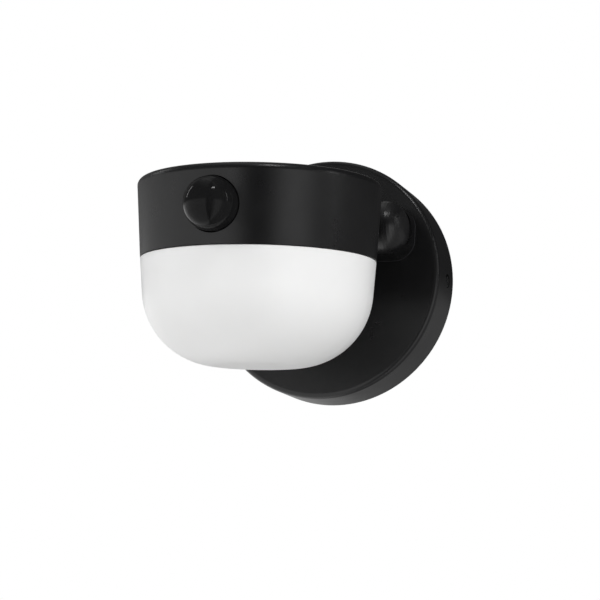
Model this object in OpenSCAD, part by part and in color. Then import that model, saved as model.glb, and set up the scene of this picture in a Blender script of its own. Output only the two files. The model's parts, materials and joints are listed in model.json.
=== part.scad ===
// Round wall floodlight with a camera dome in the band and a bowl diffuser below it.
// Frame: the origin is the centre of the canopy's back face, +Y goes into the wall,
// +Z is up and the light stands out towards -Y. The head hangs on a horizontal hinge.

/* [Wall canopy] */
// Radius of the canopy
canopy_r = 59; // [56:0.5:75]
// Depth of the canopy from the wall to its front face
canopy_t = 23.8; // [20:0.2:32]
// Thickness of the canopy's side wall
canopy_wall = 4; // [3:0.5:5]
// Thickness of the canopy's front face
canopy_face = 2.5; // [2:0.5:4]
// Radius of the canopy's rounded front edge
canopy_round = 2.5; // [1:0.1:4]
// Depth of the step in the back rim that holds the wall gasket
rim_step = 3; // [2:0.5:5]
// Width of the wall gasket
gasket_w = 1.9; // [1:0.1:2.5]

/* [Crossbar] */
// Width of the crossbar
bar_w = 16; // [12:1:24]
// Thickness of the crossbar's steel
bar_t = 2; // [1.5:0.5:3]
// Distance between the two box slots, middle to middle
slot_spacing = 88.9; // [60:0.1:96]
// Width of a box slot
slot_w = 4.8; // [4:0.1:6]
// Length of a box slot, end to end
slot_l = 10; // [8:0.5:14]
// Distance of the side screws from the wall
side_screw_y = 9; // [7:0.5:14]

/* [Hinge] */
// Distance of the hinge axis from the wall
hinge_y = 37.6; // [36:0.1:60]
// Height of the hinge axis above the canopy's centre
hinge_z = 20.3; // [10:0.1:30]
// Radius of the hinge barrel
barrel_r = 13; // [11:0.5:16]
// Half of the middle knuckle's length
knuckle_half = 20.6; // [14:0.1:28]
// Gap between the middle knuckle and a friction washer
knuckle_gap = 0.4; // [0.3:0.1:1]
// Thickness of a friction washer
washer_t = 1; // [0.5:0.1:2]
// Length of a hinge post along the axis
post_l = 24.6; // [22:0.2:34]
// Radius of a post's rounded outer end
post_round = 10; // [6:0.5:12]
// Radius of the hollow pivot bolt
pivot_r = 4; // [3.5:0.1:5]
// Radius of the wire way through the pivot bolt
pivot_bore_r = 2.5; // [2:0.1:3]
// Radial clearance of the pivot bolt in the middle knuckle
pivot_fit = 0.06; // [0.02:0.01:0.1]
// Lean of the head at rest, in degrees
rest_tilt = 4.4; // [0:0.1:10]

/* [Head band] */
// Radius of the band at its lower edge
band_r_low = 52.9; // [44:0.1:66]
// Growth of the band's radius from its lower to its upper edge
band_flare = 2; // [0:0.1:4]
// Height of the band
band_h = 35; // [32:0.1:44]
// Thickness of the band's wall and top
band_wall = 2.5; // [2:0.1:4]
// Radius of the band's rounded top edge
band_round = 3; // [1:0.1:4]
// Rise of the crowned top
crown_h = 1; // [0.5:0.1:3]
// Height of the hinge axis above the band's lower edge
hinge_h = 23.5; // [20:0.1:28]
// Distance from the hinge axis to the band's back
hinge_gap = 16; // [10:0.1:22]
// Thickness of the gasket under the tilt arm
saddle_gasket_t = 1; // [0.5:0.1:2]

/* [Diffuser] */
// Depth of the diffuser below the band
bowl_depth = 47.8; // [40:0.1:60]
// Draft of the diffuser's wall, in degrees
bowl_draft = 4.5; // [1:0.1:8]
// Radius of the diffuser's rounded lower edge
bowl_round = 34.5; // [20:0.5:36]
// Thickness of the diffuser
bowl_wall = 2.2; // [1.5:0.1:3]
// Gap between the band and the diffuser
seam_gap = 0.4; // [0.2:0.1:1]
// Height of the diffuser's collar inside the band
collar_h = 5; // [4:0.1:8]
// How far a snap lug stands out of the collar
lug_out = 1; // [0.5:0.1:1.2]

/* [Light engine] */
// Thickness of the LED plate
plate_t = 2; // [1.5:0.1:3]
// Radius of the circle that the plate's screws stand on
boss_circle = 38; // [30:0.5:42]
// Radius of a screw boss
boss_r = 3.6; // [3:0.1:5]
// Thickness of the circuit boards
board_t = 1.6; // [1:0.1:2]
// Number of LEDs in the outer ring
led_count = 16; // [8:1:24]
// Height of the air gap between the LED plate and the driver board
driver_lift = 4; // [3:0.5:8]

/* [Camera] */
// Radius of the camera dome
dome_r = 11.85; // [9:0.05:13]
// How far the dome stands out of the band
dome_out = 13; // [3:0.1:15]
// Thickness of the dome
dome_wall = 1.6; // [1:0.1:2.5]
// Height of the dome's centre above the band's lower edge
dome_h = 17; // [15:0.1:19]
// Gap round the dome
dome_gap = 0.45; // [0.2:0.05:0.8]
// Radius of the camera barrel
cam_r = 4.6; // [3:0.1:6]

/* [Reset button] */
// Radius of the button
button_r = 2.8; // [2:0.1:4]
// Travel of the button
button_travel = 0.8; // [0.4:0.1:1.2]
// Clearance round the button
button_gap = 0.3; // [0.2:0.05:0.5]
// Angle of the button round the band, from the front towards the left
button_turn = 132; // [120:1:140]

/* [Hidden] */
$fn = 96;
eps = 0.01;
thread_gap = 0.05;
bend_swell = 0.15;
// canopy
rim_in = canopy_r - canopy_wall;
rim_lip = rim_in + gasket_w + 0.1;
face_in = canopy_t - canopy_face;
// crossbar
bar_half = sqrt(pow(rim_in - 0.5, 2) - pow(bar_w / 2, 2));
flange_h = side_screw_y + 5;
side_r = 1.95;
side_head_r = 3.1;
side_head_h = 1.6;
// hinge
post_in = knuckle_half + knuckle_gap + washer_t;
post_out = post_in + post_l;
post_floor = post_in + 9;
post_gasket_t = 0.8;
post_base = canopy_t + post_gasket_t;
pocket_r = 0.6 * barrel_r;
plug_gap = 0.1;
plug_r = pocket_r + 0.5;
// angle of the rounded end where a pivot cap's rim meets it, and where the cap sits
plug_turn = acos((plug_r - plug_gap - barrel_r + post_round) / post_round);
plug_seat = post_out - post_round * (1 - sin(plug_turn)) - 1.4;
spring_t = 1.2;
nut_h = 5;
nut_r = pocket_r - 0.5;
bolt_head_h = 4.5;
cable_r = 2;
cable_x = plug_seat - 3.2;
cable_hole_r = 3.4;
post_screw_r = 1.95;
post_screw_x = post_in + 5.5;
post_screw_z = min(8, barrel_r - 4.5);
post_screw_l = canopy_face + post_gasket_t + 6;
pan_r = 3.5;
pan_h = 2.2;
// terminal block
block_size = [28, 15, 13];
block_z = -26;
wells = [-8.5, 0, 8.5];
// head
function band_r(z) = band_r_low + band_flare * z / band_h;
arm_y = band_r(hinge_h) + hinge_gap;
head_y = hinge_y + arm_y * cos(rest_tilt) - hinge_h * sin(rest_tilt);
head_z = hinge_z - arm_y * sin(rest_tilt) - hinge_h * cos(rest_tilt);
arm_low = hinge_h - barrel_r;
arm_top = band_h - band_round;
arm_screw_x = knuckle_half - 7.5;
arm_screw_l = band_wall + saddle_gasket_t + 5.5;
pad_y = band_r(arm_low) * cos(asin(knuckle_half / band_r(arm_low))) - band_wall - 1;
pad_top = band_h - band_wall;
arm_wire_r = 2.6;
lead_r = 1.5;
// diffuser
collar_r = band_r_low - band_wall - 0.3;
collar_in = collar_r - bowl_wall;
lug_z = [collar_h - 1.9, collar_h - 0.7];
groove_r = collar_r + lug_out + 0.3;
seal_t = 1.2;
bowl_top = band_r_low - 0.05;
bowl_edge_z = bowl_round - bowl_depth;
bowl_edge_r = bowl_top + bowl_edge_z * tan(bowl_draft) - bowl_round / cos(bowl_draft);
// light engine
plate_z = collar_h + seal_t;
plate_r = collar_r;
boss_z = plate_z + plate_t;
boss_turns = [0, 60, 120, 180, 235, 305];
boss_screw_r = 1.45;
boss_screw_l = 9;
led_z = plate_z - board_t;
led_board_r = boss_circle + 4;
led_board_in = 9;
led_size = [2.8, 3.5, 0.8];
led_rings = [[led_board_r - 9, led_count], [led_board_r - 21, round(led_count / 2)]];
driver_z = boss_z + driver_lift;
driver_size = [50, 30, board_t];
driver_y = 12;
driver_top = driver_z + board_t;
// camera
dome_face = band_r(dome_h);
seat_d = dome_face - 4.6;
dome_seal_t = 0.8;
dome_seal_d = seat_d - dome_seal_t;
flange_t = 1.2;
flange_d = dome_seal_d - flange_t;
flange_r = dome_r + 2.3;
retainer_t = 2.2;
retainer_d = flange_d - retainer_t;
socket_r = flange_r + 0.3;
socket_wall = 1.6;
cap_r = dome_out < dome_r ? (dome_r * dome_r + dome_out * dome_out) / (2 * dome_out) : dome_r;
cap_d = dome_face + dome_out - cap_r;
mask_r = dome_r - dome_wall - 0.25;
mask_d = flange_d + 2.6;
mask_t = 1.2;
cam_front = mask_d + 4.2;
cam_back = retainer_d - 1.5;
sensor_board_d = cam_back - board_t;
sensor_board_w = 18;
ir_place = mask_r - 2.3;
main_d = sensor_board_d - 6;
main_size = [40, board_t, 18];
// button
button_z = 15;
button_d = band_r(button_z) + 0.4;
button_cap_l = band_wall + 3.4;
button_flange_t = 1.2;
button_flange_d = button_d - button_cap_l - button_flange_t;
button_flange_r = button_r + 1.2;
guide_d = button_d - button_cap_l + 0.35;
switch_d = button_flange_d - button_travel - 0.4;

// ---- shared shapes ----

// points of an arc round [x, y], from angle a to angle b
function arc(x, y, r, a, b, n = 12) =
    [for (i = [0:n]) let (t = a + (b - a) * i / n) [x + r * cos(t), y + r * sin(t)]];

// local z points out of the wall
module out_of_wall() rotate([90, 0, 0]) children();

// local z runs along the hinge axis
module on_hinge() translate([0, -hinge_y, hinge_z]) rotate([0, 90, 0]) children();

// puts a piece of the head, drawn round the band's own axis, in its place on the hinge
module on_head() translate([0, -head_y, head_z]) rotate([rest_tilt, 0, 0]) children();

// local z runs from the band's axis out through the middle of the camera dome
module to_dome() translate([0, 0, dome_h]) rotate([90, 0, 0]) children();

// local z runs from the band's axis out through the reset button
module to_button() translate([0, 0, button_z]) rotate([90, 0, -button_turn]) children();

module ring(r_out, r_in, h) difference() {
    cylinder(r = r_out, h = h);
    translate([0, 0, -eps]) cylinder(r = r_in, h = h + 2 * eps);
}

module centred_box(size) translate([-size[0] / 2, -size[1] / 2, 0]) cube(size);

// pan-head screw: the head stands on z = 0 and the shank goes down
module screw(r, l, head_r, head_h) difference() {
    union() {
        translate([0, 0, -l]) cylinder(r = r, h = l + eps, $fn = 32);
        rotate_extrude($fn = 48)
            polygon(concat([[0, 0], [head_r, 0]],
                arc(head_r - head_h * 0.6, head_h * 0.4, head_h * 0.6, 0, 90, 6),
                [[0, head_h]]));
    }
    for (turn = [0, 90])
        rotate(turn) translate([-head_r * 0.55, -0.35, head_h * 0.4])
            cube([head_r * 1.1, 0.7, head_h]);
}

// round rod from a to b
module rod(a, b, r) {
    d = b - a;
    l = norm(d);
    translate(a) rotate([0, acos(d[2] / l), atan2(d[1], d[0])]) cylinder(r = r, h = l, $fn = 32);
}

// cable through a list of points, with a slightly thicker ball at each bend
module cable(points, r) {
    for (i = [0:len(points) - 2]) rod(points[i], points[i + 1], r);
    for (i = [1:len(points) - 2]) translate(points[i]) sphere(r = r + bend_swell, $fn = 32);
}

// ---- wall side ----

module canopy() color("#1d1d1e") difference() {
    out_of_wall() rotate_extrude()
        polygon(concat([[0, face_in], [rim_in, face_in], [rim_in, rim_step],
            [rim_lip, rim_step], [rim_lip, 0], [canopy_r, 0]],
            arc(canopy_r - canopy_round, canopy_t - canopy_round, canopy_round, 0, 90),
            [[0, canopy_t]]));
    for (side = [-1, 1]) {
        translate([0, -side_screw_y, 0]) rotate([0, 90 * side, 0]) {
            cylinder(r = side_r + 0.3, h = canopy_r + 1);
            translate([0, 0, canopy_r - side_head_h]) cylinder(r = side_head_r + 0.2, h = 4);
        }
        for (dz = [-1, 1])
            translate([side * post_screw_x, 0, hinge_z + dz * post_screw_z])
                out_of_wall() cylinder(r = post_screw_r + 0.25, h = canopy_t + 1);
    }
    translate([cable_x, 0, hinge_z]) out_of_wall() cylinder(r = cable_hole_r, h = canopy_t + 1);
}

module wall_gasket() color("#3c3c3e")
    out_of_wall() ring(rim_in + gasket_w, rim_in, rim_step - 0.05);

module slot_cut() for (side = [-1, 1])
    translate([side * slot_spacing / 2, 0, 0]) {
        for (end = [-1, 1])
            translate([end * (slot_l - slot_w) / 2, 0, 0])
                out_of_wall() translate([0, 0, -1]) cylinder(r = slot_w / 2, h = bar_t + 2);
        translate([-(slot_l - slot_w) / 2, -bar_t - 1, -slot_w / 2])
            cube([slot_l - slot_w, bar_t + 2, slot_w]);
    }

module crossbar() color("#c7c9cb") difference() {
    union() {
        translate([-bar_half, -bar_t, -bar_w / 2]) cube([2 * bar_half, bar_t, bar_w]);
        for (side = [-1, 1])
            translate([side > 0 ? bar_half - bar_t : -bar_half, -flange_h, -bar_w / 2])
                cube([bar_t, flange_h, bar_w]);
    }
    slot_cut();
    for (side = [-1, 1])
        translate([0, -side_screw_y, 0]) rotate([0, 90 * side, 0])
            translate([0, 0, bar_half - bar_t - 1]) cylinder(r = side_r + thread_gap, h = bar_t + 2);
    translate([-slot_spacing / 5, 1, 0]) out_of_wall() cylinder(r = 2, h = bar_t + 2, $fn = 32);
}

module ground_screw() color("#3f8f57")
    translate([-slot_spacing / 5, -bar_t, 0]) out_of_wall() screw(1.95, bar_t, 4, 2.6);

module side_screws() color("#2a2a2b") for (side = [-1, 1])
    translate([0, -side_screw_y, 0]) rotate([0, 90 * side, 0])
        translate([0, 0, canopy_r - side_head_h])
            screw(side_r, canopy_r - side_head_h - bar_half + bar_t + 1, side_head_r, side_head_h);

// outline of a post from the side of the head: straight inner end, rounded outer corners
function post_outline() = concat([[post_in, -barrel_r]],
    arc(post_out - post_round, post_round - barrel_r, post_round, -90, 0),
    arc(post_out - post_round, barrel_r - post_round, post_round, 0, 90),
    [[post_in, barrel_r]]);

// rounded outer end of a post, from the angle a to the middle of its end face
function post_end(a) = arc(barrel_r - post_round, post_out - post_round, post_round, a, 90);

module hinge_post(side) color("#1d1d1e") difference() {
    mirror([side < 0 ? 1 : 0, 0, 0]) union() {
        on_hinge() rotate_extrude()
            polygon(concat([[0, post_in], [barrel_r, post_in]], post_end(0), [[0, post_out]]));
        translate([0, -post_base, hinge_z]) out_of_wall()
            linear_extrude(hinge_y - post_base) polygon(post_outline());
    }
    mirror([side < 0 ? 1 : 0, 0, 0]) {
        on_hinge() {
            cylinder(r = pivot_r + thread_gap, h = post_out);
            translate([0, 0, post_floor]) cylinder(r = pocket_r, h = post_out);
            translate([0, 0, plug_seat]) cylinder(r = plug_r, h = post_out);
        }
        for (dz = [-1, 1])
            translate([post_screw_x, 0, hinge_z + dz * post_screw_z])
                out_of_wall() cylinder(r = post_screw_r + thread_gap, h = face_in + post_screw_l + 1);
        translate([cable_x, 0, hinge_z]) out_of_wall() cylinder(r = cable_r + 0.8, h = hinge_y);
    }
}

module hinge_post_left() hinge_post(-1);
module hinge_post_right() hinge_post(1);

module post_gaskets() color("#38383a") for (side = [-1, 1])
    mirror([side < 0 ? 1 : 0, 0, 0]) difference() {
        translate([0, -canopy_t, hinge_z]) out_of_wall()
            linear_extrude(post_gasket_t) polygon(post_outline());
        for (dz = [-1, 1])
            translate([post_screw_x, 0, hinge_z + dz * post_screw_z])
                out_of_wall() cylinder(r = post_screw_r + 0.25, h = post_base + 1);
        translate([cable_x, 0, hinge_z]) out_of_wall() cylinder(r = cable_hole_r, h = post_base + 1);
    }

module post_screws() color("#b9bbbd") for (side = [-1, 1], dz = [-1, 1])
    translate([side * post_screw_x, -face_in, hinge_z + dz * post_screw_z])
        rotate([-90, 0, 0]) screw(post_screw_r, post_screw_l, pan_r, pan_h);

module pivot_bolt() color("#c3c5c8") on_hinge() difference() {
    union() {
        translate([0, 0, -post_floor]) cylinder(r = pivot_r, h = 2 * post_floor + spring_t + nut_h + 0.6);
        translate([0, 0, -post_floor - bolt_head_h]) cylinder(r = nut_r, h = bolt_head_h, $fn = 6);
    }
    translate([0, 0, -post_out]) cylinder(r = pivot_bore_r, h = 2 * post_out);
    // window towards the head, for the cable
    translate([-pivot_r - 1, -pivot_r - 1, -7]) cube([2 * pivot_r + 2, pivot_r + 1, 14]);
}

module pivot_nut() color("#c3c5c8") on_hinge() translate([0, 0, post_floor + spring_t])
    difference() {
        cylinder(r = nut_r, h = nut_h, $fn = 6);
        translate([0, 0, -1]) cylinder(r = pivot_r + thread_gap, h = nut_h + 2);
    }

module friction_washers() color("#d8d4c4") on_hinge() for (side = [-1, 1])
    translate([0, 0, side > 0 ? post_in - washer_t : -post_in])
        ring(barrel_r - 1.5, pivot_r + 0.2, washer_t);

module spring_washer() color("#9a9c9e") on_hinge() translate([0, 0, post_floor])
    difference() {
        cylinder(r1 = pocket_r - 0.4, r2 = pivot_r + 1.6, h = spring_t);
        translate([0, 0, -1]) cylinder(r = pivot_r + 0.2, h = spring_t + 2);
    }

module pivot_caps() color("#202021") on_hinge() for (turn = [0, 180])
    rotate([turn, 0, 0]) rotate_extrude()
        polygon(concat([[0, plug_seat], [plug_r - plug_gap, plug_seat]], post_end(plug_turn),
            [[0, post_out]]));

module terminal_block() color("#e8e6df") difference() {
    translate([-block_size[0] / 2, -face_in, block_z - block_size[2] / 2])
        cube([block_size[0], block_size[1], block_size[2]]);
    for (x = wells) {
        translate([x, -face_in + block_size[1] + 1, block_z]) out_of_wall()
            cylinder(r = 2.4, h = 7, $fn = 32);
        translate([x, -face_in + block_size[1] / 2, block_z - block_size[2]])
            cylinder(r = 1.8, h = 2 * block_size[2], $fn = 32);
    }
}

module terminal_screws() color("#cfcfcf") for (x = wells)
    translate([x, -face_in + block_size[1] - 3.2, block_z]) rotate([-90, 0, 0])
        screw(1.4, 2.3, 2.2, 1.6);

module wire_grommet() color("#2c2c2d") translate([cable_x, -face_in, hinge_z]) difference() {
    union() {
        out_of_wall() translate([0, 0, -1.2])
            cylinder(r = cable_hole_r, h = canopy_face + post_gasket_t + 1.2);
        out_of_wall() translate([0, 0, -1.2]) cylinder(r = cable_hole_r + 1.4, h = 1.2);
    }
    out_of_wall() translate([0, 0, -2]) cylinder(r = cable_r + 0.1, h = canopy_face + 4);
}

module canopy_cable() color("#46464a") cable([
    [block_size[0] / 2 + 2, -face_in + block_size[1] / 2, block_z],
    [cable_x - 6, -face_in + 6, block_z + 12],
    [cable_x, -face_in + 6, hinge_z - 8],
    [cable_x, -face_in + 4, hinge_z],
    [cable_x, -hinge_y, hinge_z],
    [3.4, -hinge_y, hinge_z]], cable_r);

// ---- head ----

// room that the camera socket takes, with 0.4 mm round it
module socket_room() to_dome() translate([0, 0, sensor_board_d - 1])
    cylinder(r = socket_r + socket_wall + 0.4, h = band_r_low);

// outer surface of the band, grown by g, from its lower edge to its crowned top
module band_body(g) rotate_extrude()
    polygon(concat([[0, -g], [band_r_low + g, -g]],
        arc(band_r(band_h) - band_round, band_h - band_round, band_round + g, 0, 90),
        arc(0, band_h + g + crown_h - crown_radius(), crown_radius(), crown_turn(), 90, 10)));

// radius of the crown's arc, from its rise over the flat of the top
function crown_radius() =
    (pow(band_r(band_h) - band_round, 2) + crown_h * crown_h) / (2 * crown_h);
function crown_turn() = acos((band_r(band_h) - band_round) / crown_radius());

module boss(turn) rotate(turn) translate([boss_circle, 0, boss_z])
    cylinder(r = boss_r, h = pad_top - boss_z + 0.5);

module housing() color("#1f1f20") on_head() difference() {
    union() {
        difference() {
            band_body(0);
            translate([0, 0, -1])
                cylinder(r1 = band_r(-1) - band_wall, r2 = band_r(pad_top) - band_wall, h = pad_top + 1);
        }
        // flat pad for the arm's screws
        intersection() {
            band_body(-1);
            translate([-knuckle_half, pad_y, arm_low])
                cube([2 * knuckle_half, band_r_low, pad_top - arm_low + 0.5]);
        }
        // socket of the camera dome
        intersection() {
            band_body(-1);
            to_dome() translate([0, 0, retainer_d]) cylinder(r = socket_r + socket_wall, h = band_r_low);
        }
        // guide of the reset button
        intersection() {
            band_body(-1);
            to_button() translate([0, 0, guide_d]) cylinder(r = button_r + 2, h = band_r_low);
        }
        for (turn = boss_turns) boss(turn);
    }
    // dome hole and its seat
    to_dome() cylinder(r = dome_r + dome_gap, h = band_r_low * 2);
    to_dome() cylinder(r = socket_r, h = seat_d);
    // button hole
    to_button() cylinder(r = button_r + button_gap, h = band_r_low * 2);
    // groove of the diffuser's lugs
    translate([0, 0, lug_z[0] - 0.15]) cylinder(r = groove_r, h = lug_z[1] - lug_z[0] + 0.3);
    // screw holes
    for (turn = boss_turns) rotate(turn) translate([boss_circle, 0, boss_z - 1])
        cylinder(r = boss_screw_r + thread_gap, h = boss_screw_l + 1, $fn = 32);
    translate([0, 0, hinge_h]) rotate([-90, 0, 0]) cylinder(r = arm_wire_r, h = band_r_low * 2);
    for (side = [-1, 1]) translate([side * arm_screw_x, 0, hinge_h]) rotate([-90, 0, 0])
        cylinder(r = post_screw_r + 0.25, h = band_r_low * 2);
}

// middle knuckle and the neck that sits on the band's back
module arm_blank() union() {
    translate([-knuckle_half, arm_y, hinge_h]) rotate([0, 90, 0])
        cylinder(r = barrel_r, h = 2 * knuckle_half);
    translate([-knuckle_half, pad_y, arm_low])
        cube([2 * knuckle_half, arm_y - pad_y, arm_top - arm_low]);
}

module arm_holes() {
    for (side = [-1, 1]) translate([side * arm_screw_x, 0, hinge_h]) rotate([-90, 0, 0])
        cylinder(r = post_screw_r + thread_gap, h = pad_y + arm_screw_l + 3, $fn = 48);
    translate([0, 0, hinge_h]) rotate([-90, 0, 0]) cylinder(r = arm_wire_r, h = arm_y);
}

module tilt_arm() color("#1d1d1e") on_head() difference() {
    arm_blank();
    band_body(saddle_gasket_t);
    arm_holes();
    translate([-post_in, arm_y, hinge_h]) rotate([0, 90, 0])
        cylinder(r = pivot_r + pivot_fit, h = 2 * post_in);
}

module arm_gasket() color("#38383a") on_head() difference() {
    intersection() {
        translate([-knuckle_half, pad_y, arm_low])
            cube([2 * knuckle_half, arm_y - pad_y, arm_top - arm_low]);
        band_body(saddle_gasket_t);
    }
    band_body(0);
    arm_holes();
}

module arm_screws() color("#b9bbbd") on_head() for (side = [-1, 1])
    translate([side * arm_screw_x, pad_y, hinge_h]) rotate([90, 0, 0])
        screw(post_screw_r, arm_screw_l + 2, pan_r, pan_h);

module head_cable() color("#46464a") on_head() cable([
    [0, arm_y, hinge_h],
    [0, pad_y - 5, hinge_h],
    [-1, driver_y + driver_size[1] / 2 - 2.4, driver_top + 1.6]], lead_r);

// the bowl's outer outline, or its inner one with g = bowl_wall
function bowl_line(g) = concat([[bowl_top - g - seam_gap * tan(bowl_draft), -seam_gap]],
    arc(bowl_edge_r, bowl_edge_z, bowl_round - g, -bowl_draft, -90, 20));

module diffuser() color("#f4f3ef") on_head() {
    difference() {
        rotate_extrude() polygon(concat([[0, -bowl_depth]],
            [for (i = [21:-1:0]) bowl_line(0)[i]],
            [[collar_r, -seam_gap], [collar_r, collar_h], [collar_in, collar_h], [collar_in, -seam_gap]],
            [for (i = [1:21]) bowl_line(bowl_wall)[i]],
            [[0, bowl_wall - bowl_depth]]));
        socket_room();
    }
    for (turn = [0:90:270]) rotate(turn + 36) translate([0, 0, lug_z[0]])
        rotate_extrude(angle = 18) translate([collar_r - 0.5, 0])
            square([lug_out + 0.5, lug_z[1] - lug_z[0]]);
}

module diffuser_seal() color("#d9d9d6") on_head() difference() {
    translate([0, 0, collar_h]) ring(collar_r - 0.1, collar_in, seal_t);
    socket_room();
}

module led_plate() color("#c9cbce") on_head() difference() {
    union() {
        translate([0, 0, plate_z]) cylinder(r = plate_r, h = plate_t);
        for (x = [-1, 1], y = [-1, 1])
            translate([x * (driver_size[0] / 2 - 3), driver_y + y * (driver_size[1] / 2 - 3), boss_z - eps])
                cylinder(r = 2.2, h = driver_lift + eps, $fn = 32);
    }
    for (turn = boss_turns) rotate(turn) translate([boss_circle, 0, 0])
        cylinder(r = boss_screw_r + 0.25, h = band_h, $fn = 32);
    cylinder(r = led_board_in - 3, h = band_h);
    socket_room();
}

module led_board() color("#f2f2ee") on_head() difference() {
    translate([0, 0, led_z]) cylinder(r = led_board_r, h = board_t);
    cylinder(r = led_board_in, h = band_h);
    for (turn = boss_turns) rotate(turn) translate([boss_circle, 0, 0])
        cylinder(r = boss_screw_r + 0.25, h = band_h, $fn = 32);
}

module leds() color("#f3d66b") on_head() for (ring_of = led_rings)
    for (i = [0:ring_of[1] - 1]) rotate(360 * (i + 0.5) / ring_of[1])
        translate([ring_of[0], 0, led_z - led_size[2]]) centred_box(led_size);

module plate_screws() color("#b9bbbd") on_head() for (turn = boss_turns)
    rotate(turn) translate([boss_circle, 0, led_z]) mirror([0, 0, 1])
        screw(boss_screw_r, boss_screw_l, 2.7, 1.8);

module driver_board() color("#2f6b45") on_head()
    translate([0, driver_y, driver_z]) centred_box(driver_size);

module transformer() color("#d8b43c") on_head() translate([-11, driver_y + 1, driver_top]) {
    centred_box([15, 18, 3]);
    translate([0, 0, 3]) cylinder(r = 6.4, h = 6.5);
    translate([0, 0, 9.5]) centred_box([15, 18, 3]);
}

module capacitors() color("#27303f") on_head() for (c = [[4, 5, 5, 12], [4, 18, 4, 9], [14, 19, 3.2, 8]])
    translate([c[0], driver_y - 14 + c[1], driver_top]) cylinder(r = c[2], h = c[3]);

module driver_connector() color("#efece2") on_head()
    translate([16, driver_y - 8, driver_top]) difference() {
        centred_box([10, 8, 7]);
        translate([0, 0, 2]) centred_box([8, 6, 7]);
    }

// ---- camera ----

module dome_cover() color("#0d0d10") on_head() to_dome() rotate_extrude()
    polygon(concat([[dome_r - dome_wall, flange_d], [flange_r, flange_d],
        [flange_r, dome_seal_d], [dome_r, dome_seal_d]],
        arc(0, cap_d, cap_r, acos(dome_r / cap_r), 90, 20),
        arc(0, cap_d, cap_r - dome_wall, 90,
            acos((dome_r - dome_wall) / (cap_r - dome_wall)), 20)));

module dome_seal() color("#38383a") on_head() to_dome() translate([0, 0, dome_seal_d])
    ring(flange_r, dome_r + dome_gap, dome_seal_t);

module dome_retainer() color("#1c1c1d") on_head() to_dome() translate([0, 0, retainer_d])
    ring(socket_r - 0.05, dome_r - dome_wall, retainer_t);

module camera_mask() color("#101011") on_head() to_dome() difference() {
    union() {
        translate([0, 0, mask_d]) cylinder(r = mask_r, h = mask_t);
        translate([0, 0, cam_back]) ring(mask_r, mask_r - 1.2, mask_d - cam_back + eps);
    }
    cylinder(r = cam_r + 0.1, h = band_r_low * 2);
    for (turn = [0, 180]) rotate(turn) translate([ir_place, 0, 0])
        cylinder(r = 1.45, h = band_r_low * 2, $fn = 32);
    translate([0, -ir_place, 0]) cylinder(r = 1.15, h = band_r_low * 2, $fn = 32);
}

module camera_barrel() color("#17171a") on_head() to_dome() difference() {
    rotate_extrude() polygon([[0, cam_back], [cam_r, cam_back], [cam_r, cam_front - 0.5],
        [cam_r - 0.5, cam_front], [cam_r - 1.2, cam_front], [cam_r - 2, cam_front - 1.4], [0, cam_front - 1.4]]);
    cylinder(r = cam_r - 2.4, h = cam_front - 2.5);
}

module camera_lens() color("#3a4a78") on_head() to_dome() intersection() {
    translate([0, 0, cam_front - 1.4]) cylinder(r = cam_r - 2.1, h = 3);
    translate([0, 0, cam_front - 6.5]) sphere(r = 6.3);
}

module image_board() color("#27603c") on_head() to_dome() translate([0, 0, sensor_board_d])
    centred_box([sensor_board_w, sensor_board_w, board_t]);

module infrared_leds() color("#2a1a22") on_head() to_dome() for (turn = [0, 180])
    rotate(turn) translate([ir_place, 0, mask_d - 3]) {
        cylinder(r = 1.35, h = 3.6, $fn = 32);
        translate([0, 0, 3.6]) sphere(r = 1.35, $fn = 32);
    }

module light_sensor() color("#c8c4b0") on_head() to_dome() translate([0, -ir_place, mask_d - 3])
    cylinder(r = 1.05, h = 3.8, $fn = 32);

module main_board() color("#27603c") on_head()
    translate([-main_size[0] / 2, -main_d - board_t, dome_h - 6]) cube(main_size);

module processor() color("#2b2b2d") on_head()
    translate([-14, -main_d, dome_h - 2]) cube([12, 1.4, 12]);

module wifi_module() color("#bfc2c4") on_head()
    translate([3, -main_d, dome_h - 1]) cube([14, 2.2, 9]);

// ---- reset button ----

module reset_button() color("#2a2a2b") on_head() to_button() {
    translate([0, 0, button_d - button_cap_l]) cylinder(r = button_r, h = button_cap_l);
    translate([0, 0, button_flange_d]) cylinder(r = button_flange_r, h = button_flange_t + eps);
}

module reset_switch() color("#8f9294") on_head() to_button() {
    translate([0, 0, switch_d - 1]) cylinder(r = 1.2, h = 1);
    translate([0, 0, switch_d - 4]) centred_box([6, 6, 3 + eps]);
    translate([0, 0, switch_d - 5.2]) centred_box([10, 12, 1.2 + eps]);
}

canopy();
wall_gasket();
crossbar();
ground_screw();
side_screws();
hinge_post_left();
hinge_post_right();
post_gaskets();
post_screws();
pivot_bolt();
pivot_nut();
friction_washers();
spring_washer();
pivot_caps();
terminal_block();
terminal_screws();
wire_grommet();
canopy_cable();
housing();
tilt_arm();
arm_gasket();
arm_screws();
head_cable();
diffuser();
diffuser_seal();
led_plate();
led_board();
leds();
plate_screws();
driver_board();
transformer();
capacitors();
driver_connector();
dome_cover();
dome_seal();
dome_retainer();
camera_mask();
camera_barrel();
camera_lens();
image_board();
infrared_leds();
light_sensor();
main_board();
processor();
wifi_module();
reset_button();
reset_switch();
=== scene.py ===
import json
import math

import bmesh
import bpy
import numpy as np
from mathutils import Matrix, Vector


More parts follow.
